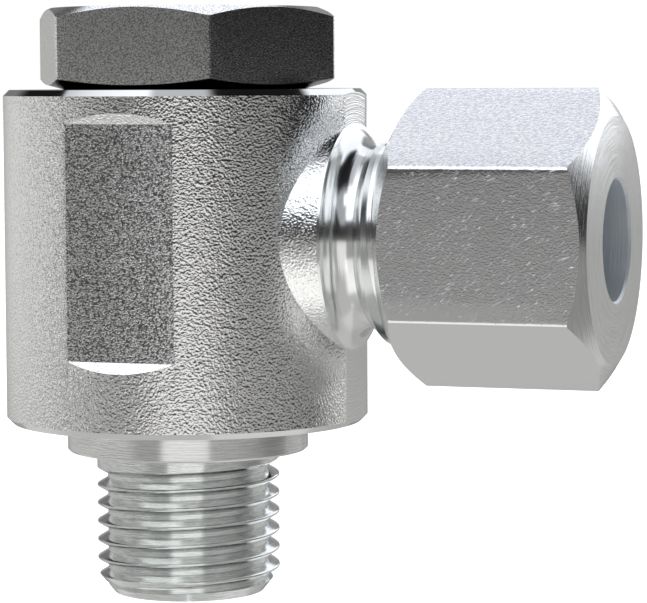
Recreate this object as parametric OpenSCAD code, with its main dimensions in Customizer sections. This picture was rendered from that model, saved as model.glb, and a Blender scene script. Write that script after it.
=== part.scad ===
// Swivel elbow fitting: a hollow bolt clamps a round body to a port, and a union nut
// with a cutting ring holds a tube in the body's side port.
// The bolt's axis is Z, the side port points along +X, and z = 0 is the port face
// that the lower ring rests on. All sizes are in millimetres.

/* [Swivel body] */
// Diameter of the turned body
body_d = 19.7; // [19.5:0.1:20.5]
// Height of the body between its end faces
body_h = 18; // [17.8:0.1:19]
// Chamfer on the body's two end edges
body_chamfer = 0.32; // [0.2:0.02:0.5]
// Distance across the two wrench flats
flat_af = 18.78; // [18.6:0.02:19]
// Height of each wrench flat
flat_h = 12.3; // [10:0.1:13]
// Rise of the sloped ledge at each end of a flat
ledge_rise = 0.56; // [0.4:0.02:0.8]

/* [Side port] */
// Height of the port's axis above the body's lower face
port_height = 10.1; // [9.8:0.1:10.4]
// Distance from the bolt's axis to the machined rim
rim_x = 9.57; // [9.4:0.01:9.7]
// Width of the rim's cylindrical land, which ends in the facing cut's plane
rim_w = 0.14; // [0.05:0.01:0.2]
// Outside diameter of the port thread
port_thread_d = 11.9; // [11.7:0.02:12]
// Height of the rim above the port thread's crests
rim_lip = 0.14; // [0.1:0.01:0.25]
// Taper of the forged boss, from the rim back to the body's wall
boss_taper = 0.19; // [0.1:0.01:0.3]
// Depth of the neck below the port thread's crests
neck_cut = 1.1; // [0.9:0.05:1.2]
// Width of the plain neck
neck_w = 0.16; // [0.1:0.02:0.4]
// Distance from the bolt's axis to the end of the port thread
port_end_x = 18.5; // [18.3:0.1:18.6]

/* [Tube] */
// Outside diameter of the tube that the fitting takes
tube_d = 6; // [5.8:0.1:6.2]
// Bore for the flow
flow_d = 4; // [3.5:0.1:4.2]
// Depth from the port's end to the tube stop
tube_depth = 7; // [6.5:0.1:7.5]
// Radial clearance of the tube in its seat and in the cutting ring
tube_gap = 0.05; // [0.05:0.01:0.08]
// Radial width of the 24 degree cone's mouth beyond the tube
cone_mouth = 1.05; // [0.95:0.05:1.15]

/* [Stud and shank] */
// Outside diameter of the stud thread
stud_d = 9.97; // [9.7:0.01:10.2]
// Length of the stud below the port face
stud_len = 7.8; // [7:0.1:9]
// Height of the chamfer on the stud's end
stud_chamfer_h = 1.1; // [0.8:0.1:1.4]
// Radial depth of the chamfer on the stud's end
stud_chamfer_cut = 0.885; // [0.6:0.005:1.1]
// Radial gap that lets the stud thread pass through the body's bore
pass_gap = 0.015; // [0.01:0.005:0.04]
// Radial running clearance of the shank in the body's bore
shank_gap = 0.05; // [0.03:0.01:0.09]
// Depth of the relief groove behind the stud thread
relief_cut = 0.585; // [0.4:0.005:0.7]
// Depth of the waist that carries the flow round the bolt
waist_cut = 1.05; // [0.7:0.05:1.2]
// Height of the waist
waist_h = 6; // [5:0.1:7]
// Diameter of the cross holes
cross_hole_d = 3; // [2.5:0.1:3.5]

/* [Hexagon head] */
// Distance across the flats of the head
head_af = 14.89; // [14.7:0.01:15]
// Height of the head
head_h = 4.38; // [4:0.02:5]
// Diameter of the flat on top of the head, as a share of head_af
head_top_share = 0.974; // [0.94:0.002:0.99]
// Diameter of the washer face under the head, as a share of head_af
head_washer_share = 0.88; // [0.86:0.002:0.94]
// Height of the upper chamfer at the hexagon's corners
head_top_chamfer = 0.58; // [0.4:0.02:0.8]
// Height of the lower chamfer at the hexagon's corners
head_low_chamfer = 0.57; // [0.4:0.02:0.8]

/* [Seals] */
// Thickness of the lower retaining ring
ring_h = 1.6; // [1.5:0.1:1.8]
// Radial width of the retaining ring
ring_w = 0.82; // [0.7:0.02:1]
// Edge chamfer of the retaining ring
ring_chamfer = 0.1; // [0.05:0.01:0.2]
// Radial width of the soft seal bonded inside the ring
seal_w = 0.6; // [0.5:0.05:0.8]
// Radial gap between the soft seal and the stud thread
seal_gap = 0.165; // [0.1:0.005:0.2]
// Thickness of the upper O-ring's cord
o_ring_cord = 1.2; // [1:0.1:1.3]
// Height to which the head squeezes the O-ring, as a share of its cord
o_ring_squeeze = 0.85; // [0.8:0.01:0.92]

/* [Union nut] */
// Distance across the flats of the nut
nut_af = 13.74; // [13.7:0.01:14]
// Distance from the bolt's axis to the nut's inner end
nut_x = 12.7; // [12.6:0.05:12.8]
// Length of the nut
nut_len = 11.28; // [11.2:0.02:11.5]
// Diameter of the nut's round end faces, as a share of nut_af
nut_face_share = 0.92; // [0.9:0.002:0.96]
// Length of the chamfer at the nut's corners
nut_chamfer = 1; // [0.8:0.05:1.1]
// Radial clearance of the nut's thread bore round the port thread
thread_gap = 0.04; // [0.02:0.01:0.06]
// Length of the nut's thread past the port's end
thread_past = 0.7; // [0.6:0.05:0.8]
// Radial clearance of the tube in the nut's hole
nut_hole_gap = 0.18; // [0.15:0.01:0.2]
// Length of the nut's hole for the tube
nut_hole_len = 2.3; // [2:0.1:2.5]
// Small chamfer on the hole's outer edge
nut_hole_chamfer = 0.12; // [0.05:0.01:0.2]

/* [Cutting ring] */
// Distance from the port's end back to the ring's cutting tip
cutter_reach = 3.3; // [3:0.1:3.5]
// Radial width of the ring's collar outside the tube
collar_w = 1.75; // [1.6:0.05:1.8]
// Gap between the ring's cones and the faces that they seat in
cone_gap = 0.05; // [0.04:0.01:0.08]
// Gap between the collar and the port's end face
collar_gap = 0.2; // [0.15:0.05:0.4]
// Radial gap round the collar in the nut's pocket
pocket_gap = 0.35; // [0.2:0.05:0.45]
// Depth of the relief groove between the two cutting edges
relief_depth = 0.2; // [0.1:0.05:0.25]

/* [Hidden] */
$fn = 96;
// Length by which a cut runs past a face
over = 1;
body_z = ring_h;
port_z = body_z + port_height;
head_z = body_z + body_h;
body_r = body_d / 2;
flow_r = flow_d / 2;
// The stud's thread sets the bore, the shank, the seal and the ring round it
stud_r = stud_d / 2;
main_bore_r = stud_r + pass_gap;
shank_r = main_bore_r - shank_gap;
seal_bore_r = stud_r + seal_gap;
ring_bore_r = seal_bore_r + seal_w;
ring_r = ring_bore_r + ring_w;
recess_r = main_bore_r + o_ring_cord;
recess_h = o_ring_cord * o_ring_squeeze;
waist_r = shank_r - waist_cut;
// Relief behind the stud thread, from just under the port face up inside the retaining ring
relief_r = stud_r - relief_cut;
relief_low = -0.05;
relief_top = ring_h * 0.8;
// The flow bore ends in a drill point above the cross holes
drill_half_angle = 59;
bolt_bore_top = port_z + cross_hole_d / 2 + 0.6;
// The port thread sets the rim, the neck and the boss
port_thread_r = port_thread_d / 2;
rim_r = port_thread_r + rim_lip;
boss_r = rim_r + boss_taper;
neck_r = port_thread_r - neck_cut;
// Facing cut beside the rim, which leaves a narrow flat down the body's wall
facing_x = rim_x + rim_w;
// Centre of the rounded groove between the rim and the neck
groove_r = rim_r - neck_r;
groove_x = facing_x + groove_r;
thread_x = groove_x + neck_w;
port_end_chamfer = 0.4;
// The boss starts inside the body's wall
boss_x = (main_bore_r + body_r) / 2;
// The 24 degree cone narrows from its mouth to the tube's seat
tube_bore_r = tube_d / 2 + tube_gap;
mouth_r = tube_d / 2 + cone_mouth;
cone_len = (mouth_r - tube_bore_r) / tan(12);
cone_x = port_end_x - cone_len;
// The nut's 45 degree shoulder ends where its hole starts
nut_end_x = nut_x + nut_len;
nut_thread_r = port_thread_r + thread_gap;
nut_thread_end = port_end_x + thread_past;
nut_hole_r = tube_d / 2 + nut_hole_gap;
shoulder_x = nut_end_x - nut_hole_len;
collar_r = tube_d / 2 + collar_w;
pocket_r = collar_r + pocket_gap;
// Setting a 45 degree face back by cone_gap moves it this far along the axis
shoulder_back = cone_gap * sqrt(2);
cutter_x = port_end_x - cutter_reach;
collar_x = port_end_x + collar_gap;
cutter_end_x = shoulder_x - shoulder_back - 0.35;

steel = [0.78, 0.79, 0.80];
dark_steel = [0.66, 0.67, 0.68];
black_rubber = [0.08, 0.08, 0.09];

// Turns local +Z into world +X on the port's axis
module along_port() {
    translate([0, 0, port_z])
        rotate([0, 90, 0])
            children();
}

// Round body with a chamfer on both end edges
module turned_body() {
    translate([0, 0, body_z])
        rotate_extrude()
            polygon([
                [0, 0],
                [body_r - body_chamfer, 0],
                [body_r, body_chamfer],
                [body_r, body_h - body_chamfer],
                [body_r - body_chamfer, body_h],
                [0, body_h]
            ]);
}

// Cut for one wrench flat, with a sloped ledge at each end
module flat_cut() {
    flat_y = flat_af / 2;
    depth = body_r - flat_y;
    out = depth + over;
    rise = ledge_rise * out / depth;
    translate([-body_r, 0, port_z])
        rotate([90, 0, 90])
            linear_extrude(height = body_d)
                polygon([
                    [flat_y, -flat_h / 2],
                    [flat_y + out, -flat_h / 2 - rise],
                    [flat_y + out, flat_h / 2 + rise],
                    [flat_y, flat_h / 2]
                ]);
}

// Facing cut round the side port, which takes the body's wall back to the rim's plane
module facing_cut() {
    translate([facing_x, -body_r, body_z - over])
        cube([body_r, body_d, body_h + 2 * over]);
}

// Forged boss, machined rim, rounded groove, neck and port thread, as one turned shape
module port_stub() {
    thread_rise = port_thread_r - neck_r;
    rotate_extrude()
        difference() {
            polygon([
                [0, boss_x],
                [boss_r, boss_x],
                [rim_r, rim_x],
                [rim_r, groove_x],
                [neck_r, groove_x],
                [neck_r, thread_x],
                [port_thread_r, thread_x + thread_rise],
                [port_thread_r, port_end_x - port_end_chamfer],
                [port_thread_r - port_end_chamfer, port_end_x],
                [0, port_end_x]
            ]);
            intersection() {
                translate([rim_r, groove_x])
                    circle(r = groove_r);
                translate([neck_r - over, facing_x])
                    square([groove_r + 2 * over, groove_r]);
            }
        }
}

// Flow bore, tube seat and 24 degree cone, bored from the port's end
module port_bores() {
    cylinder(h = port_end_x + over, r = flow_r);
    translate([0, 0, port_end_x - tube_depth])
        cylinder(h = tube_depth + over, r = tube_bore_r);
    translate([0, 0, cone_x])
        cylinder(h = cone_len, r1 = tube_bore_r, r2 = mouth_r);
    translate([0, 0, port_end_x])
        cylinder(h = over, r = mouth_r);
}

module swivel_body() {
    color(steel)
        difference() {
            union() {
                difference() {
                    turned_body();
                    flat_cut();
                    mirror([0, 1, 0])
                        flat_cut();
                    facing_cut();
                }
                along_port()
                    port_stub();
            }
            translate([0, 0, body_z - over])
                cylinder(h = body_h + 2 * over, r = main_bore_r);
            translate([0, 0, head_z - recess_h])
                cylinder(h = recess_h + over, r = recess_r);
            along_port()
                port_bores();
        }
}

// Hexagon head, with a corner towards the port and a chamfer on both ends
module hexagon_head() {
    corner_r = head_af / 2 / cos(30);
    top_r = head_af / 2 * head_top_share;
    washer_r = head_af / 2 * head_washer_share;
    translate([0, 0, head_z])
        intersection() {
            cylinder(h = head_h, r = corner_r, $fn = 6);
            rotate_extrude()
                polygon([
                    [0, 0],
                    [washer_r, 0],
                    [corner_r, head_low_chamfer],
                    [corner_r, head_h - head_top_chamfer],
                    [top_r, head_h],
                    [0, head_h]
                ]);
        }
}

// Shank and stud, turned with a waist for the flow and a relief behind the thread
module bolt_shank() {
    rotate_extrude()
        polygon([
            [0, -stud_len],
            [stud_r - stud_chamfer_cut, -stud_len],
            [stud_r, stud_chamfer_h - stud_len],
            [stud_r, relief_low],
            [relief_r, relief_low + ring_h * 0.2],
            [relief_r, relief_top - ring_h * 0.2],
            [shank_r, relief_top],
            [shank_r, port_z - waist_h / 2],
            [waist_r, port_z - waist_h / 2 + 0.6],
            [waist_r, port_z + waist_h / 2 - 0.6],
            [shank_r, port_z + waist_h / 2],
            [shank_r, head_z + over],
            [0, head_z + over]
        ]);
}

module hollow_bolt() {
    color(dark_steel)
        difference() {
            union() {
                hexagon_head();
                bolt_shank();
            }
            translate([0, 0, -stud_len - over])
                cylinder(h = bolt_bore_top + stud_len + over, r = flow_r);
            translate([0, 0, bolt_bore_top])
                cylinder(h = flow_r / tan(drill_half_angle), r1 = flow_r, r2 = 0);
            for (turn = [0, 90])
                translate([0, 0, port_z])
                    rotate([90, 0, turn])
                        cylinder(h = 2 * main_bore_r, r = cross_hole_d / 2, center = true);
        }
}

module retaining_ring() {
    color(steel)
        rotate_extrude()
            polygon([
                [ring_bore_r, 0],
                [ring_r - ring_chamfer, 0],
                [ring_r, ring_chamfer],
                [ring_r, ring_h - ring_chamfer],
                [ring_r - ring_chamfer, ring_h],
                [ring_bore_r, ring_h]
            ]);
}

// Soft seal bonded inside the retaining ring, with a lip towards each face
module lower_seal() {
    lip_w = seal_w / 3;
    web_back = ring_h * 0.15;
    color(black_rubber)
        rotate_extrude()
            polygon([
                [seal_bore_r, 0],
                [seal_bore_r + lip_w, 0],
                [ring_bore_r, web_back],
                [ring_bore_r, ring_h - web_back],
                [seal_bore_r + lip_w, ring_h],
                [seal_bore_r, ring_h]
            ]);
}

// O-ring squeezed flat between the recess and the underside of the head
module upper_o_ring() {
    mid_r = main_bore_r + o_ring_cord / 2;
    mid_z = head_z - recess_h / 2;
    color(black_rubber)
        rotate_extrude()
            intersection() {
                translate([mid_r, mid_z])
                    circle(r = o_ring_cord / 2);
                translate([main_bore_r, head_z - recess_h])
                    square([recess_r - main_bore_r, recess_h]);
            }
}

// Hexagon outside of the nut, with corners up and down and a chamfer on both ends
module nut_outside() {
    corner_r = nut_af / 2 / cos(30);
    face_r = nut_af / 2 * nut_face_share;
    intersection() {
        translate([0, 0, nut_x])
            cylinder(h = nut_len, r = corner_r, $fn = 6);
        rotate_extrude()
            polygon([
                [0, nut_x],
                [face_r, nut_x],
                [corner_r, nut_x + nut_chamfer],
                [corner_r, nut_end_x - nut_chamfer],
                [face_r, nut_end_x],
                [0, nut_end_x]
            ]);
    }
}

// Thread bore, collar pocket, 45 degree shoulder and tube hole
module nut_bores() {
    shoulder_len = pocket_r - nut_hole_r;
    mouth = 0.15;
    translate([0, 0, nut_x - over])
        cylinder(h = nut_thread_end - nut_x + over, r = nut_thread_r);
    translate([0, 0, nut_x - over])
        cylinder(h = over + mouth, r1 = nut_thread_r + mouth + over, r2 = nut_thread_r);
    translate([0, 0, nut_x])
        cylinder(h = shoulder_x - shoulder_len - nut_x, r = pocket_r);
    translate([0, 0, shoulder_x - shoulder_len])
        cylinder(h = shoulder_len, r1 = pocket_r, r2 = nut_hole_r);
    translate([0, 0, nut_x])
        cylinder(h = nut_len + over, r = nut_hole_r);
    translate([0, 0, nut_end_x - nut_hole_chamfer])
        cylinder(
            h = nut_hole_chamfer + over,
            r1 = nut_hole_r,
            r2 = nut_hole_r + nut_hole_chamfer + over
        );
}

module union_nut() {
    color(steel)
        along_port()
            difference() {
                nut_outside();
                nut_bores();
            }
}

// Tapered ring that bites the tube: cutting edges in front, 45 degree collar behind
module cutting_ring() {
    // Radius of the port's cone less the gap, at a distance from the bolt's axis
    function seat_r(x) = tube_bore_r + (x - cone_x) * tan(12) - cone_gap / cos(12);
    // Radius of the nut's shoulder less the gap
    function shoulder_r(x) = nut_hole_r + shoulder_x - shoulder_back - x;
    front_end = port_end_x - 0.2;
    edge_w = 0.5;
    relief_w = 1;
    color(dark_steel)
        along_port()
            rotate_extrude()
                polygon([
                    [tube_bore_r, cutter_x],
                    [seat_r(cutter_x), cutter_x],
                    [seat_r(front_end), front_end],
                    [seat_r(front_end), collar_x],
                    [collar_r, collar_x],
                    [collar_r, shoulder_x - shoulder_back - (collar_r - nut_hole_r)],
                    [shoulder_r(cutter_end_x), cutter_end_x],
                    [tube_bore_r, cutter_end_x],
                    [tube_bore_r, cutter_x + edge_w + relief_w],
                    [tube_bore_r + relief_depth, cutter_x + edge_w + relief_w - relief_depth],
                    [tube_bore_r + relief_depth, cutter_x + edge_w],
                    [tube_bore_r, cutter_x + edge_w]
                ]);
}

swivel_body();
hollow_bolt();
retaining_ring();
lower_seal();
upper_o_ring();
union_nut();
cutting_ring();
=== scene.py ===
import math

import bmesh
import bpy
from mathutils import Matrix, Vector


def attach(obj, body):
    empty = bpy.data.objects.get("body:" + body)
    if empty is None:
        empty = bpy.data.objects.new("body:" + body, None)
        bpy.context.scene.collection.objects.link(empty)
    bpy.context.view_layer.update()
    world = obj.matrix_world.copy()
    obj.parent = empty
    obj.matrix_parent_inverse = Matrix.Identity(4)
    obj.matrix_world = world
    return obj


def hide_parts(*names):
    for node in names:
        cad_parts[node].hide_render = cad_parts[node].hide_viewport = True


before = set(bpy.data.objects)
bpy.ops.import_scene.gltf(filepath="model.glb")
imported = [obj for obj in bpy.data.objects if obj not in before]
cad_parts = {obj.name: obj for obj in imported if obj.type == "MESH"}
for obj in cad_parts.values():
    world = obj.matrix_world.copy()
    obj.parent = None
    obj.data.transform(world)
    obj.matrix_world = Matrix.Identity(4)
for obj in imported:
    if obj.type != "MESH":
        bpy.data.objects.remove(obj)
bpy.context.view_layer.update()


# The studio: a room that a chrome ball would show as a pale floor, a pale left wall, a dark
# front and right wall, and white panels overhead and behind. The camera itself sees plain
# white.
class Signal:
    """A value that varies over a surface or the sky; arithmetic on it adds Math nodes."""

    def __init__(self, maker, socket):
        self.maker = maker
        self.socket = socket

    def output(self, name):
        return Signal(self.maker, self.socket.node.outputs[name])

    def joined(self, operation, first, second):
        return self.maker.add("ShaderNodeMath", {"operation": operation}, {0: first, 1: second})

    def __add__(self, other):
        return self.joined("ADD", self, other)

    def __sub__(self, other):
        return self.joined("SUBTRACT", self, other)

    def __rsub__(self, other):
        return self.joined("SUBTRACT", other, self)

    def __mul__(self, other):
        return self.joined("MULTIPLY", self, other)

    def __truediv__(self, other):
        return self.joined("DIVIDE", self, other)

    __radd__ = __add__
    __rmul__ = __mul__


class NodeMaker:
    """Adds nodes to one tree: a type, its settings, then the values or links of its sockets."""

    def __init__(self, tree):
        self.tree = tree

    def add(self, kind, settings=None, sockets=None, output=0):
        node = self.tree.nodes.new(kind)
        for name, value in (settings or {}).items():
            if name == "stops":
                self.set_stops(node.color_ramp, value)
            else:
                setattr(node, name, value)
        for key, value in (sockets or {}).items():
            if isinstance(value, Signal):
                self.tree.links.new(value.socket, node.inputs[key])
            else:
                node.inputs[key].default_value = value
        return Signal(self, node.outputs[output]) if node.outputs else None

    def set_stops(self, ramp, stops):
        while len(ramp.elements) < len(stops):
            ramp.elements.new(0.5)
        for element, (place, tone) in zip(ramp.elements, stops):
            element.position = place
            element.color = (tone, tone, tone, 1)

    def step(self, value, low, high):
        """0 below low and 1 above high, with a soft change between them."""
        return self.add(
            "ShaderNodeMapRange",
            {"interpolation_type": "SMOOTHSTEP"},
            {"Value": value, "From Min": low, "From Max": high},
        )

    def window(self, value, low, high, soft):
        """1 between low and high and 0 outside, with soft edges."""
        return self.step(value, low - soft, low + soft) * (
            1 - self.step(value, high - soft, high + soft)
        )


# Tones by the angle round the bolt, in degrees from the front (-Y) towards the side port (+X).
# The near floor lies more than 7 degrees below level, and the far floor between it and the walls.
FAR_FLOOR_TONES = (
    (-180, 0.39), (-150, 0.43), (-138, 0.56), (-122, 0.74), (-107, 0.745), (-93, 0.82),
    (-80, 0.92), (-66, 1.03), (-55, 1.03), (-42, 0.88), (-28, 0.48), (-14, 0.44), (-5, 0.46),
    (-1, 0.94), (39, 0.94), (43, 0.53), (55, 0.545), (66, 0.545), (75, 0.5), (89, 0.41),
    (104, 0.245), (116, 0.23), (129, 0.3), (141, 0.36), (155, 0.4), (180, 0.39),
)
NEAR_FLOOR_TONES = (
    (-180, 0.46), (-150, 0.48), (-138, 0.62), (-122, 0.77), (-107, 0.74), (-91, 0.67),
    (-76, 0.58), (-60, 0.49), (-44, 0.45), (-24, 0.38), (-7, 0.4), (-1, 0.94), (39, 0.94),
    (43, 0.46), (55, 0.41), (84, 0.37), (104, 0.27), (116, 0.28), (132, 0.36), (150, 0.42),
    (180, 0.46),
)
WALL_TONES = (
    (-180, 0.45), (-140, 0.46), (-120, 0.74), (-92, 0.72), (-74, 0.61), (-62, 0.53),
    (-53, 0.38), (-38, 0.17), (-18, 0.15), (-4, 0.09), (8, 0.06), (45, 0.03), (112, 0.01),
    (117, 0.1), (120, 1.15), (140, 1.25), (147, 0.5), (180, 0.4),
)

world = bpy.data.worlds.new("studio")
bpy.context.scene.world = world
world.use_nodes = True
world.node_tree.nodes.clear()
sky = NodeMaker(world.node_tree)
# A direction from the fitting: across to the right, deep away from the front, and its rise
across = sky.add("ShaderNodeSeparateXYZ", sockets={0: sky.add("ShaderNodeTexCoord")})
deep = across.output("Y")
rise = across.output("Z")
drop = 0 - rise
turn = across.joined("ARCTAN2", across, 0 - deep) / math.tau + 0.5


def room_tone(tones):
    stops = [(angle / 360 + 0.5, tone) for angle, tone in tones]
    return sky.add("ShaderNodeValToRGB", {"stops": stops}, {0: turn})


near = sky.step(drop, 0.112, 0.124)
floor_tone = room_tone(FAR_FLOOR_TONES) * (1 - near) + room_tone(NEAR_FLOOR_TONES) * near
# The floor goes over to a plain grey straight down
straight_down = sky.step(drop, 0.5, 0.8)
floor_tone = floor_tone * (1 - straight_down) + straight_down * 0.56
# The long panel's own light on the floor in front, given by its edges at a depth of 1
under = across.joined("MAXIMUM", drop, 0.02)
patch_across = sky.window(across / under, -1.2, 0.15, 0.15)
patch_deep = sky.window(deep / under, -2.2, -0.35, 0.1)
floor_tone = floor_tone + patch_across * patch_deep * 0.6
# The floor on the left is darker near the fitting
left_near = sky.window(drop, 0.115, 0.4, 0.015) * (1 - sky.step(turn, 0.34, 0.4))
floor_tone = floor_tone * (1 - left_near * 0.34)
# A pale block low on the right, behind
pale_block = sky.window(turn, 0.855, 0.95, 0.004) * sky.step(drop, 0.122, 0.13)
floor_tone = floor_tone + pale_block * 0.17

# The walls darken towards the ceiling
upper_wall = sky.step(rise, 0.02, 0.12)
ceiling = sky.step(rise, 0.3, 0.5)
wall_tone = room_tone(WALL_TONES) * (1 - upper_wall * 0.6) * (1 - ceiling) + 0.01
above = sky.step(rise, -0.055, -0.028)
room = floor_tone * (1 - above) + wall_tone * above

# Panels overhead, given by their edges at a height of 1: the long white one in three parts and
# darker towards the back, then a dim strip along it, a dim one on the right and one behind
over = across.joined("MAXIMUM", rise, 0.02)
aside = across / over
back = deep / over
long_panel = (
    sky.window(aside, -0.86, -0.19, 0.03) * sky.window(back, -0.4, 0.8, 0.1)
    + sky.window(aside, -0.86, 0.13, 0.03) * sky.window(back, -2.4, -0.4, 0.1)
    + sky.window(aside, 0.13, 0.42, 0.03) * sky.window(back, -1.1, -0.65, 0.05)
)
overhead = (
    long_panel * (1.4 - sky.step(back, -0.3, 0.4) * 0.85)
    + sky.window(aside, -0.19, 0.125, 0.03) * sky.window(back, -0.4, 0.75, 0.1) * 0.55
    + sky.window(aside, 0.2, 1.6, 0.08) * sky.window(back, -3.2, -0.45, 0.15) * 0.4
    + sky.window(aside, -1, 0.08, 0.03) * sky.window(back, 0.68, 1.65, 0.06) * 1.05
)
# Upright panels behind: a bright one on the right with a low strip, and a dim one on the left
upright = (
    sky.step(turn, 0.82, 0.84) * sky.window(rise, 0.13, 0.74, 0.03) * 1.1
    + sky.window(turn, 0.93, 0.9636, 0.005) * sky.window(rise, 0.01, 0.13, 0.015) * 1.8
    + (1 - sky.step(turn, 0.04, 0.06)) * sky.window(rise, 0.08, 0.5, 0.03) * 0.1
)
panels = (overhead + upright) * 1.1
lit_room = sky.add(
    "ShaderNodeAddShader",
    sockets={
        0: sky.add("ShaderNodeBackground", sockets={0: (1, 0.995, 0.985, 1), 1: room}),
        1: sky.add("ShaderNodeBackground", sockets={0: (0.95, 0.98, 1.05, 1), 1: panels}),
    },
)
plain_white = sky.add("ShaderNodeBackground", sockets={0: (1, 1, 1, 1), 1: 1})
seen = sky.add("ShaderNodeLightPath", output="Is Camera Ray")
shown = sky.add("ShaderNodeMixShader", sockets={0: seen, 1: lit_room, 2: plain_white})
sky.add("ShaderNodeOutputWorld", sockets={0: shown})

# Long lens, level with the body's upper edge and looking a little down and to the left
CAMERA_PLACE = (0.057356, -0.144876, 0.020202)
CAMERA_YAW, CAMERA_PITCH, CAMERA_ROLL = (math.radians(a) for a in (-18.8562, 4.4861, 0.2805))
ahead = Vector((
    math.sin(CAMERA_YAW) * math.cos(CAMERA_PITCH),
    math.cos(CAMERA_YAW) * math.cos(CAMERA_PITCH),
    -math.sin(CAMERA_PITCH),
))
level = Vector((math.cos(CAMERA_YAW), -math.sin(CAMERA_YAW), 0))
down = ahead.cross(level)
right = level * math.cos(CAMERA_ROLL) + down * math.sin(CAMERA_ROLL)
down = down * math.cos(CAMERA_ROLL) - level * math.sin(CAMERA_ROLL)
aim = Matrix((right, -down, -ahead)).transposed().to_4x4()
lens = bpy.data.cameras.new("camera")
lens.sensor_width = 36
lens.lens = 159.03
lens.clip_start = 0.005
lens.clip_end = 20
camera = bpy.data.objects.new("camera", lens)
camera.matrix_world = Matrix.Translation(CAMERA_PLACE) @ aim
bpy.context.scene.collection.objects.link(camera)
bpy.context.scene.camera = camera
bpy.context.scene.view_settings.view_transform = "Standard"

# White floor a little below the stud, with a glow that only the camera sees. Metal sees the
# room's pale floor in its place.
FLOOR_Z = -0.02
bpy.ops.object.select_all(action="DESELECT")
bpy.ops.mesh.primitive_plane_add(size=6, location=(0, 0, FLOOR_Z))
floor = bpy.context.object
floor.name = "floor"
floor.visible_glossy = False
paint = bpy.data.materials.new("floor_white")
paint.use_nodes = True
paint.node_tree.nodes.clear()
flat_paint = NodeMaker(paint.node_tree)
matte = flat_paint.add("ShaderNodeBsdfDiffuse", sockets={0: (0.9, 0.9, 0.9, 1)})
by_camera = flat_paint.add("ShaderNodeLightPath", output="Is Camera Ray")
camera_glow = flat_paint.add("ShaderNodeEmission", sockets={0: (1, 1, 1, 1), 1: by_camera * 0.8})
painted = flat_paint.add("ShaderNodeAddShader", sockets={0: matte, 1: camera_glow})
flat_paint.add("ShaderNodeOutputMaterial", sockets={0: painted})
floor.data.materials.append(paint)


# Hollow bolt: one steel turning from hexagon bar, bored from the stud's end, cross drilled at
# its waist, threaded M10 x 1, blasted on the head and zinc plated. It clamps the body down.
MM = 0.001
PORT_Z = 11.7
# Points closer than this, in mm, are merged
SAME_SPOT = 0.0005


class Finish(NodeMaker):
    """One surface finish, with its patterns measured in mm on the piece itself."""

    def __init__(self, name, colour, roughness, metallic=1.0):
        self.material = bpy.data.materials.new(name)
        self.material.use_nodes = True
        super().__init__(self.material.node_tree)
        self.shader = self.tree.nodes["Principled BSDF"]
        self.shader.inputs["Base Color"].default_value = (*colour, 1)
        self.shader.inputs["Roughness"].default_value = roughness
        self.shader.inputs["Metallic"].default_value = metallic
        self.on_piece = self.add("ShaderNodeTexCoord", output="Object")

    def stretched(self, sizes, tilt=0.0):
        """Places on the piece, counted in pattern sizes of so many mm along X, Y and Z, with the
        pattern tilted by so many degrees about Y."""
        return self.add(
            "ShaderNodeMapping",
            {"vector_type": "TEXTURE"},
            {
                "Vector": self.on_piece,
                "Rotation": (0, math.radians(tilt), 0),
                "Scale": tuple(size * MM for size in sizes),
            },
        )

    def grain(self, sizes, detail=2.0, harshness=0.5, tilt=0.0):
        return self.noise(self.stretched(sizes, tilt), detail, harshness)

    def noise(self, places, detail, harshness):
        return self.add(
            "ShaderNodeTexNoise",
            sockets={"Vector": places, "Scale": 1.0, "Detail": detail, "Roughness": harshness},
        )

    def lathe_marks(self, width, length, detail=2.0, harshness=0.5):
        """Fine marks of so many mm by so many mm that run round the port's axis."""
        along = self.add("ShaderNodeSeparateXYZ", sockets={0: self.on_piece})
        sideways, up = along.output("Y"), along.output("Z") - PORT_Z * MM
        radius = self.add(
            "ShaderNodeMath", {"operation": "SQRT"}, {0: sideways * sideways + up * up}
        )
        # Two skewed directions across the axis, so that the marks differ all the way round
        places = self.add(
            "ShaderNodeCombineXYZ",
            sockets={
                0: radius / (width * MM) + (sideways + up * 0.7) / (length * MM),
                1: along / (width * MM),
                2: (sideways - up * 0.7) / (length * MM),
            },
        )
        return self.noise(places, detail, harshness)

    def feed(self, socket, value):
        self.tree.links.new(value.socket, self.shader.inputs[socket])

    def tint(self, amount, dark, light):
        """Base colour between two colours, by an amount from 0 to 1."""
        mixed = self.add(
            "ShaderNodeMix",
            {"data_type": "RGBA"},
            {"Factor": amount, 6: (*dark, 1), 7: (*light, 1)},
            output=2,
        )
        self.feed("Base Color", mixed)

    def relief(self, height, depth_mm):
        """Bumps of so many mm from a height from 0 to 1."""
        bump = self.add(
            "ShaderNodeBump",
            sockets={"Strength": 1.0, "Distance": depth_mm * MM, "Height": height},
        )
        self.feed("Normal", bump)


def traced(name, spots):
    """Starts a piece as a line extruded from spot to spot, and leaves it open for editing."""
    bpy.ops.object.select_all(action="DESELECT")
    bpy.ops.mesh.primitive_plane_add(size=1, location=(0, 0, 0))
    piece = bpy.context.object
    piece.name = name
    bpy.ops.object.mode_set(mode="EDIT")
    bpy.ops.mesh.select_mode(type="VERT")
    bpy.ops.mesh.select_all(action="SELECT")
    bpy.ops.mesh.merge(type="CENTER")
    bpy.ops.transform.translate(value=spots[0])
    for start, end in zip(spots, spots[1:]):
        bpy.ops.mesh.extrude_region_move(TRANSFORM_OT_translate={"value": end - start})
    bpy.ops.mesh.select_all(action="SELECT")
    return piece


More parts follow.
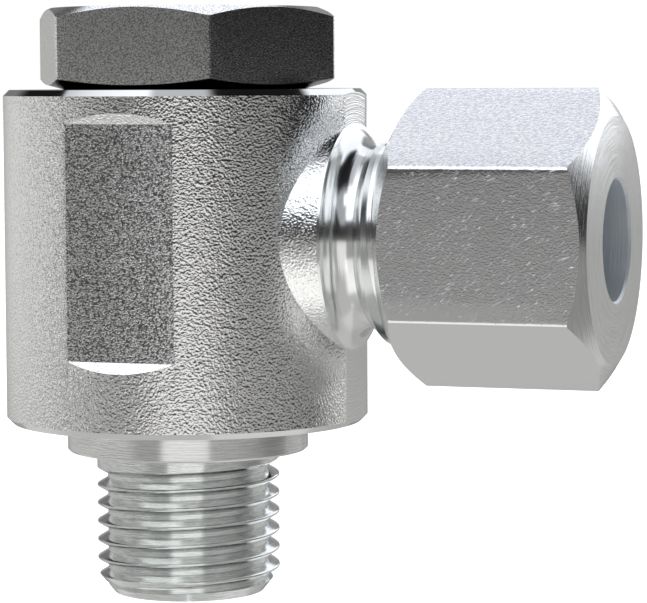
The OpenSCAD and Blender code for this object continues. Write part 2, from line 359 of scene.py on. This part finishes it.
def turned(name, outline, about="bolt", steps=128):
    """Spins an outline of (radius, place along the axis) pairs about the bolt's axis or the
    port's."""
    if about == "bolt":
        spots = [Vector((radius, 0, along)) for radius, along in outline]
        center, axis = (0, 0, 0), (0, 0, 1)
    else:
        spots = [Vector((along, 0, PORT_Z + radius)) for radius, along in outline]
        center, axis = (0, 0, PORT_Z), (1, 0, 0)
    piece = traced(name, spots)
    bpy.ops.mesh.spin(steps=steps, angle=math.tau, center=center, axis=axis)
    bpy.ops.mesh.select_all(action="SELECT")
    bpy.ops.mesh.remove_doubles(threshold=SAME_SPOT)
    bpy.ops.mesh.normals_make_consistent(inside=False)
    bpy.ops.object.mode_set(mode="OBJECT")
    return piece


def machined(piece, tool, operation="DIFFERENCE"):
    """Cuts a piece with a tool, or joins or trims the two, and takes the tool away."""
    bpy.ops.object.select_all(action="DESELECT")
    bpy.context.view_layer.objects.active = piece
    piece.select_set(True)
    bpy.ops.object.modifier_add(type="BOOLEAN")
    cut = piece.modifiers[-1]
    cut.operation = operation
    cut.solver = "EXACT"
    cut.object = tool
    bpy.ops.object.modifier_apply(modifier=cut.name)
    bpy.data.objects.remove(tool)


def hexagon_bar(across_flats, start, end, edge, about="bolt"):
    """Hexagon bar with rounded edges. One corner points to the port, or on the port's axis
    upwards."""
    bpy.ops.object.select_all(action="DESELECT")
    bpy.ops.mesh.primitive_cylinder_add(
        vertices=6, radius=across_flats / math.sqrt(3), depth=end - start
    )
    bar = bpy.context.object
    corner_to_x = Matrix.Rotation(math.pi / 6, 4, "Z")
    middle = (start + end) / 2
    if about == "bolt":
        bar.matrix_world = Matrix.Translation((0, 0, middle)) @ corner_to_x
    else:
        onto_port = Matrix.Rotation(math.pi / 2, 4, "Y")
        bar.matrix_world = Matrix.Translation((middle, 0, PORT_Z)) @ onto_port @ corner_to_x
    bpy.ops.object.transform_apply(location=True, rotation=True, scale=True)
    bpy.ops.object.mode_set(mode="EDIT")
    bpy.ops.mesh.select_mode(type="EDGE")
    bpy.ops.mesh.select_all(action="DESELECT")
    shape = bmesh.from_edit_mesh(bar.data)
    for side in shape.edges:
        side.select = side.calc_length() > (end - start) * 0.99
    bmesh.update_edit_mesh(bar.data)
    bpy.ops.mesh.bevel(offset=edge, segments=3, affect="EDGES")
    bpy.ops.object.mode_set(mode="OBJECT")
    return bar


def thread_cutter(outline, pitch, turns, begin, begin_angle, about="bolt"):
    """Right-hand helical cutter from a closed outline of (radius, offset along the axis) pairs."""
    spots = []
    for radius, along in outline + outline[:1]:
        out, up = radius * math.cos(begin_angle), radius * math.sin(begin_angle)
        along += begin
        spots.append(Vector((out, up, along) if about == "bolt" else (along, out, up)))
    cutter = traced("thread_cutter", spots)
    bpy.ops.mesh.remove_doubles(threshold=SAME_SPOT)
    bpy.ops.object.mode_set(mode="OBJECT")
    bpy.ops.object.modifier_add(type="SCREW")
    sweep = cutter.modifiers[-1]
    sweep.axis = "Z" if about == "bolt" else "X"
    sweep.angle = math.tau
    sweep.screw_offset = pitch
    sweep.iterations = turns
    sweep.steps = sweep.render_steps = 96
    bpy.ops.object.modifier_apply(modifier=sweep.name)
    bpy.ops.object.mode_set(mode="EDIT")
    bpy.ops.mesh.select_all(action="SELECT")
    bpy.ops.mesh.remove_doubles(threshold=SAME_SPOT)
    bpy.ops.mesh.fill_holes(sides=0)
    bpy.ops.mesh.select_all(action="SELECT")
    bpy.ops.mesh.normals_make_consistent(inside=False)
    bpy.ops.object.mode_set(mode="OBJECT")
    if about == "port":
        cutter.location = (0, 0, PORT_Z)
        bpy.ops.object.transform_apply(location=True, rotation=True, scale=True)
    return cutter


def dressed(piece, finishes, choose=None):
    """Gives a piece its one finish, or each face the one that choose picks from the face's
    middle and normal, in mm."""
    for finish in finishes:
        piece.data.materials.append(finish.material)
    if choose:
        for face in piece.data.polygons:
            face.material_index = finishes.index(choose(face.center, face.normal))


def finished(piece, smooth_angle, body, node):
    """Brings a piece from mm to metres, shades it and hands it to the frame in its node's
    place."""
    bpy.ops.object.select_all(action="DESELECT")
    bpy.context.view_layer.objects.active = piece
    piece.select_set(True)
    piece.scale = (MM, MM, MM)
    bpy.ops.object.transform_apply(location=True, rotation=True, scale=True)
    bpy.ops.object.shade_smooth_by_angle(angle=math.radians(smooth_angle))
    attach(piece, body)
    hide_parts(node)


BORE_R = 2.0
STUD_R = 4.985
STUD_END = -7.8
SHANK_R = 4.95
WAIST_R = 3.9
CROSS_HOLE_R = 1.5
HEAD_Z = 19.6
HEAD_TOP = 23.98
HEAD_FLATS = 14.89
# Both chamfers of the head run past the hexagon's corners, where the bar then ends them
HEAD_TURNED_R = 9.0
LOW_CHAMFER = 0.682
TOP_CHAMFER = 0.754
bolt = turned("hollow_bolt_turned", [
    (0, 15.0), (BORE_R, 13.8), (BORE_R, STUD_END + 0.1), (2.1, STUD_END),
    (4.1, STUD_END), (STUD_R, -6.7), (STUD_R, -0.05), (4.4, 0.27), (4.4, 0.96), (SHANK_R, 1.28),
    (SHANK_R, 8.7), (WAIST_R, 9.3), (WAIST_R, 14.1), (SHANK_R, 14.7), (SHANK_R, HEAD_Z),
    (6.55, HEAD_Z), (HEAD_TURNED_R, HEAD_Z + LOW_CHAMFER),
    (HEAD_TURNED_R, HEAD_TOP - TOP_CHAMFER), (7.25, HEAD_TOP), (0, HEAD_TOP),
])
machined(bolt, hexagon_bar(HEAD_FLATS, start=-9, end=26, edge=0.1), "INTERSECT")

STUD_PITCH = 1.0
STUD_TURNS = 8
STUD_GROOVE = [
    (4.41, -0.11), (4.41, 0.11), (4.92, 0.405), (4.955, 0.43), (4.978, 0.46), (5.04, 0.48),
    (5.04, -0.48), (4.978, -0.46), (4.955, -0.43), (4.92, -0.405),
]
# The groove lies 0.94 under the port face at 18.9 degrees, and runs out at 110 degrees, behind
# the stud
SEEN_Z, SEEN_ANGLE, RUNOUT_ANGLE = -0.94, 18.9, 110
runout_z = SEEN_Z + STUD_PITCH * (RUNOUT_ANGLE - SEEN_ANGLE) / 360
machined(bolt, thread_cutter(
    STUD_GROOVE, STUD_PITCH, STUD_TURNS,
    begin=runout_z - STUD_PITCH * STUD_TURNS, begin_angle=math.radians(RUNOUT_ANGLE),
))
for quarter in range(2):
    bpy.ops.object.select_all(action="DESELECT")
    bpy.ops.mesh.primitive_cylinder_add(
        vertices=48, radius=CROSS_HOLE_R, depth=11,
        location=(0, 0, PORT_Z), rotation=(math.pi / 2, 0, quarter * math.pi / 2),
    )
    machined(bolt, bpy.context.object)

head_steel = Finish("blasted_head_steel", (0.74, 0.745, 0.74), 0.11)
fine = head_steel.grain((0.075, 0.075, 0.075), detail=2)
head_steel.tint(head_steel.step(fine, 0.38, 0.56), (0.46, 0.465, 0.46), (1, 1, 0.995))
head_steel.relief(fine, 0.004)
stud_steel = Finish("turned_bolt_steel", (0.78, 0.8, 0.78), 0.14)
strokes = stud_steel.grain((0.7, 0.7, 0.07), detail=3, harshness=0.6)
stud_steel.tint(stud_steel.step(strokes, 0.35, 0.6), (0.7, 0.72, 0.71), (0.84, 0.86, 0.85))
stud_steel.relief(strokes, 0.004)
dressed(
    bolt, (head_steel, stud_steel),
    lambda middle, normal: head_steel if middle.z > HEAD_Z + 0.01 else stud_steel,
)
finished(bolt, 22, "bolt", "hollow_bolt")


# Retaining ring: a plain steel turning that holds the soft seal in its bore. The bolt clamps
# it between the body and the port's face.
RING_R = 6.57
RING_BORE_R = 5.75
RING_TOP = 1.6
RING_CHAMFER = 0.1
ring = turned("retaining_ring_turned", [
    (RING_BORE_R, 0), (RING_R - RING_CHAMFER, 0), (RING_R, RING_CHAMFER),
    (RING_R, RING_TOP - RING_CHAMFER), (RING_R - RING_CHAMFER, RING_TOP),
    (RING_BORE_R, RING_TOP), (RING_BORE_R, 0),
])
ring_steel = Finish("turned_ring_steel", (0.79, 0.8, 0.79), 0.12)
strokes = ring_steel.grain((1.6, 1.6, 0.055), detail=3, harshness=0.6)
ring_steel.tint(ring_steel.step(strokes, 0.35, 0.6), (0.68, 0.69, 0.68), (0.82, 0.83, 0.82))
ring_steel.relief(strokes, 0.003)
dressed(ring, (ring_steel,))
finished(ring, 25, "bolt", "retaining_ring")


# Soft seals: black rubber, one bonded in the retaining ring and one squeezed flat in the
# recess under the bolt's head.
lower_seal = turned("lower_seal_moulded", [
    (5.15, 0.04), (5.19, 0), (5.33, 0), (5.37, 0.03), (RING_BORE_R, 0.24), (RING_BORE_R, 1.36),
    (5.37, 1.57), (5.33, RING_TOP), (5.19, RING_TOP), (5.15, 1.56), (5.15, 0.04),
])
# The cord of the upper seal is round, and flat above and below where it is squeezed
CORD_R = 0.6
CORD_HALF_HEIGHT = 0.51
CORD_MIDDLE = (5.6, 19.09)
CORD_STEPS = 32
squeezed = []
for i in range(CORD_STEPS + 1):
    angle = math.tau * i / CORD_STEPS
    height = max(-CORD_HALF_HEIGHT, min(CORD_HALF_HEIGHT, CORD_R * math.sin(angle)))
    squeezed.append((CORD_MIDDLE[0] + CORD_R * math.cos(angle), CORD_MIDDLE[1] + height))
upper_seal = turned("upper_o_ring_squeezed", squeezed)
rubber = Finish("seal_rubber", (0.02, 0.02, 0.022), 0.5, metallic=0.0)
rubber.relief(rubber.grain((0.15, 0.15, 0.15), detail=3), 0.01)
dressed(lower_seal, (rubber,))
dressed(upper_seal, (rubber,))
finished(lower_seal, 30, "bolt", "lower_seal")
finished(upper_seal, 30, "elbow", "upper_o_ring")


# Swivel body: a forged and blasted steel body, turned at both ends and bored for the bolt.
# Its side port is turned with a rim, a round groove and an M12 x 1.5 thread.
BODY_R = 9.85
BODY_BORE_R = 5.0
END_CHAMFER = 0.32
RECESS_R = 6.2
RECESS_Z = 18.58
body = turned("swivel_body_forged", [
    (BODY_BORE_R, RING_TOP), (BODY_R - END_CHAMFER, RING_TOP), (BODY_R, RING_TOP + END_CHAMFER),
    (BODY_R, HEAD_Z - END_CHAMFER), (BODY_R - END_CHAMFER, HEAD_Z),
    (RECESS_R, HEAD_Z), (RECESS_R, RECESS_Z), (BODY_BORE_R, RECESS_Z), (BODY_BORE_R, RING_TOP),
], steps=192)

FLAT_Y = 9.39
FLAT_DEPTH = 0.46
FLAT_HALF = 6.15
LEDGE = 0.56
TOOL_DEPTH = 2
# The ledge at each end of a flat slopes outward over the flat's depth, so the outer face of
# the tool is longer than its inner face
outer_half = FLAT_HALF + TOOL_DEPTH * LEDGE / FLAT_DEPTH
for side in (-1, 1):
    bpy.ops.object.select_all(action="DESELECT")
    bpy.ops.mesh.primitive_cube_add(
        size=1,
        location=(0, side * (FLAT_Y + TOOL_DEPTH / 2), PORT_Z),
        scale=(10, TOOL_DEPTH, 2 * FLAT_HALF),
    )
    flat_tool = bpy.context.object
    bpy.ops.object.transform_apply(location=True, rotation=True, scale=True)
    bpy.ops.object.mode_set(mode="EDIT")
    bpy.ops.mesh.select_mode(type="FACE")
    bpy.ops.mesh.select_all(action="DESELECT")
    shape = bmesh.from_edit_mesh(flat_tool.data)
    for face in shape.faces:
        face.select = face.normal.y * side > 0.9
    bmesh.update_edit_mesh(flat_tool.data)
    bpy.ops.transform.resize(
        value=(1, 1, outer_half / FLAT_HALF), center_override=(0, 0, PORT_Z)
    )
    bpy.ops.object.mode_set(mode="OBJECT")
    machined(body, flat_tool)

# Facing the port takes the wall back to a plane, which leaves a narrow flat down the body
FACING_X = 9.71
bpy.ops.object.select_all(action="DESELECT")
bpy.ops.mesh.primitive_cube_add(size=1, location=(FACING_X + 5, 0, PORT_Z), scale=(10, 20, 30))
machined(body, bpy.context.object)

BOSS_R = 6.28
BOSS_ROOT_X = 7.425
RIM_X = 9.57
RIM_R = 6.09
GROOVE_X = 10.95
GROOVE_R = 1.24
GROOVE_STEPS = 20
PORT_THREAD_R = 5.95
PORT_END = 18.5
round_groove = []
for i in range(GROOVE_STEPS + 1):
    angle = math.pi / 2 * i / GROOVE_STEPS
    round_groove.append((
        RIM_R - GROOVE_R * math.sin(angle), GROOVE_X - GROOVE_R * math.cos(angle)
    ))
stub = turned("side_port", [
    (0, BOSS_ROOT_X), (BOSS_R, BOSS_ROOT_X), (RIM_R, RIM_X), *round_groove, (4.85, 11.11),
    (PORT_THREAD_R, 12.21), (PORT_THREAD_R, 18.1), (5.55, PORT_END), (0, PORT_END),
], about="port")
PORT_GROOVE = [
    (5.05, -0.11), (5.05, 0.11), (5.86, 0.575), (5.93, 0.63), (5.95, 0.67), (6.0, 0.7),
    (6.0, -0.7), (5.95, -0.67), (5.93, -0.63), (5.86, -0.575),
]
machined(stub, thread_cutter(
    PORT_GROOVE, pitch=1.5, turns=6, begin=11.35, begin_angle=0, about="port"
))
machined(body, stub, "UNION")

# The drill goes through to the bolt, then opens to the tube's seat and the cone
TUBE_R = 3.05
TUBE_STOP_X = 11.5
CONE_X = 13.795
machined(body, turned("port_drill", [
    (0, 0), (BORE_R, 0), (BORE_R, TUBE_STOP_X), (TUBE_R, TUBE_STOP_X), (TUBE_R, CONE_X),
    (4.05, PORT_END), (4.26, PORT_END + 1), (0, PORT_END + 1),
], about="port", steps=96))

blasted = Finish("blasted_body_steel", (0.79, 0.79, 0.785), 0.07)
peel = blasted.grain((0.13, 0.13, 0.13), detail=1)
blasted.tint(blasted.step(peel, 0.3, 0.5), (0.77, 0.77, 0.77), (0.86, 0.86, 0.85))
blasted.relief(peel, 0.034)
milled = Finish("blasted_flat_steel", (0.76, 0.76, 0.755), 0.1)
pits = milled.grain((0.11, 0.11, 0.085), detail=1)
milled.tint(milled.step(pits, 0.34, 0.6), (0.18, 0.18, 0.18), (0.74, 0.74, 0.73))
milled.relief(pits, 0.04)
machined_steel = Finish("turned_port_steel", (0.8, 0.81, 0.8), 0.16)
machined_steel.relief(machined_steel.lathe_marks(0.09, 4, detail=3), 0.006)
turned_ends = Finish("turned_body_steel", (0.8, 0.81, 0.8), 0.07)
turned_ends.relief(turned_ends.grain((3, 3, 0.08), detail=3), 0.001)


def body_finish(middle, normal):
    from_port = math.hypot(middle.y, middle.z - PORT_Z)
    from_bolt = math.hypot(middle.x, middle.y)
    faced = middle.x > FACING_X - 0.01
    if faced or middle.x > RIM_X and from_port < RIM_R + 0.03 or from_bolt < RECESS_R + 0.1:
        return machined_steel
    from_end = min(HEAD_Z - middle.z, middle.z - RING_TOP)
    if from_end < END_CHAMFER + 0.01:
        return turned_ends
    on_flat = abs(normal.y) > 0.9999 and abs(middle.y) < FLAT_Y + 0.01
    return milled if on_flat else blasted


dressed(body, (blasted, machined_steel, milled, turned_ends), body_finish)
finished(body, 25, "elbow", "swivel_body")


# Union nut: hexagon bar, bored and threaded, with a 45 degree shoulder that presses the cutting
# ring on the tube. Its ends are turned to a chamfer and it is zinc plated.
NUT_START = 12.7
NUT_END = 23.98
NUT_FLATS = 13.74
NUT_THREAD_R = 5.99
NUT_HOLE_R = 3.18
# Both chamfers run past the hexagon's corners, where the bar then ends them
NUT_TURNED_R = 8.3
NUT_CHAMFER = 1.2275
# The end face is a shallow dome that slopes by 3 degrees at its edge
DOME_START_R = 3.3
DOME_WIDTH = 3.04
DOME_DROP = math.tan(math.radians(3)) * DOME_WIDTH / 2
DOME_STEPS = 12
dome = [
    (DOME_START_R + DOME_WIDTH * i / DOME_STEPS, NUT_END - DOME_DROP * (i / DOME_STEPS) ** 2)
    for i in range(DOME_STEPS - 1, 0, -1)
]
nut = turned("union_nut_turned", [
    (NUT_THREAD_R, 12.85), (6.14, NUT_START), (6.32, NUT_START),
    (NUT_TURNED_R, NUT_START + NUT_CHAMFER), (NUT_TURNED_R, NUT_END - NUT_CHAMFER),
    (6.45, NUT_END - DOME_DROP), *dome, (DOME_START_R, NUT_END),
    (NUT_HOLE_R, NUT_END - 0.12), (NUT_HOLE_R, 21.68), (5.1, 19.76), (5.1, 19.2),
    (NUT_THREAD_R, 19.2), (NUT_THREAD_R, 12.85),
], about="port")
machined(nut, hexagon_bar(NUT_FLATS, start=11, end=26, edge=0.15, about="port"), "INTERSECT")

# The forging dents lie thick on one side, thin on the next, and a third is drawn smooth
dented = Finish("dented_nut_steel", (0.8, 0.8, 0.81), 0.17)
dents = dented.grain((0.3, 0.12, 0.12), detail=3, harshness=0.6, tilt=-35)
dented.tint(dented.step(dents, 0.38, 0.6), (0.74, 0.74, 0.77), (0.98, 0.98, 0.98))
dented.relief(dents, 0.032)
scratched = Finish("scratched_nut_steel", (0.8, 0.8, 0.8), 0.15)
patches = scratched.grain((1.4, 1.4, 1.4), detail=2)
scratches = sum(
    scratched.step(scratched.grain((0.6, 0.5, 0.07), detail=1, tilt=tilt), 0.67, 0.75)
    for tilt in (-50, -25)
)
scratches = scratches * scratched.step(patches, 0.42, 0.58)
scratched.relief(scratched.grain((0.12, 0.12, 0.09), detail=3) * 0.4 + scratches, 0.025)
drawn = Finish("drawn_nut_steel", (0.8, 0.8, 0.795), 0.18)
drawn.relief(drawn.grain((4, 0.3, 0.3), detail=3), 0.002)
nut_turned = Finish("turned_nut_steel", (0.8, 0.81, 0.8), 0.2)
streaks = nut_turned.lathe_marks(0.07, 2.2, detail=4, harshness=0.65)
nut_turned.tint(nut_turned.step(streaks, 0.35, 0.6), (0.75, 0.76, 0.75), (0.86, 0.87, 0.86))
nut_turned.relief(streaks, 0.008)
drilled = Finish("drilled_nut_steel", (0.78, 0.82, 0.84), 0.35, metallic=0.3)
drilled.relief(drilled.lathe_marks(0.09, 4, detail=3), 0.02)


def nut_finish(middle, normal):
    from_axis = math.hypot(middle.y, middle.z - PORT_Z)
    along_axis = abs(normal.x)
    if from_axis < 6.2 and along_axis < 0.9:
        return drilled
    if along_axis > 0.05:
        return nut_turned
    side = round(math.degrees(math.atan2(normal.z, normal.y)) / 60) % 3
    return (scratched, drawn, dented)[side]


dressed(nut, (dented, scratched, drawn, nut_turned, drilled), nut_finish)
finished(nut, 25, "nut", "union_nut")


# Cutting ring: a small hardened turning. Its front edges bite the tube as the nut presses it
# into the port's cone.
cutter = turned("cutting_ring_turned", [
    (TUBE_R, 15.2), (3.2975, 15.2), (3.9565, 18.3), (3.9565, 18.7), (4.75, 18.7), (4.75, 20.04),
    (3.53, 21.26), (TUBE_R, 21.26), (TUBE_R, 16.7), (3.25, 16.5), (3.25, 15.7), (TUBE_R, 15.7),
    (TUBE_R, 15.2),
], about="port", steps=96)
cutter_steel = Finish("turned_cutter_steel", (0.7, 0.71, 0.72), 0.2)
cutter_steel.relief(cutter_steel.grain((0.06, 4, 4), detail=3), 0.001)
dressed(cutter, (cutter_steel,))
finished(cutter, 25, "cutter", "cutting_ring")
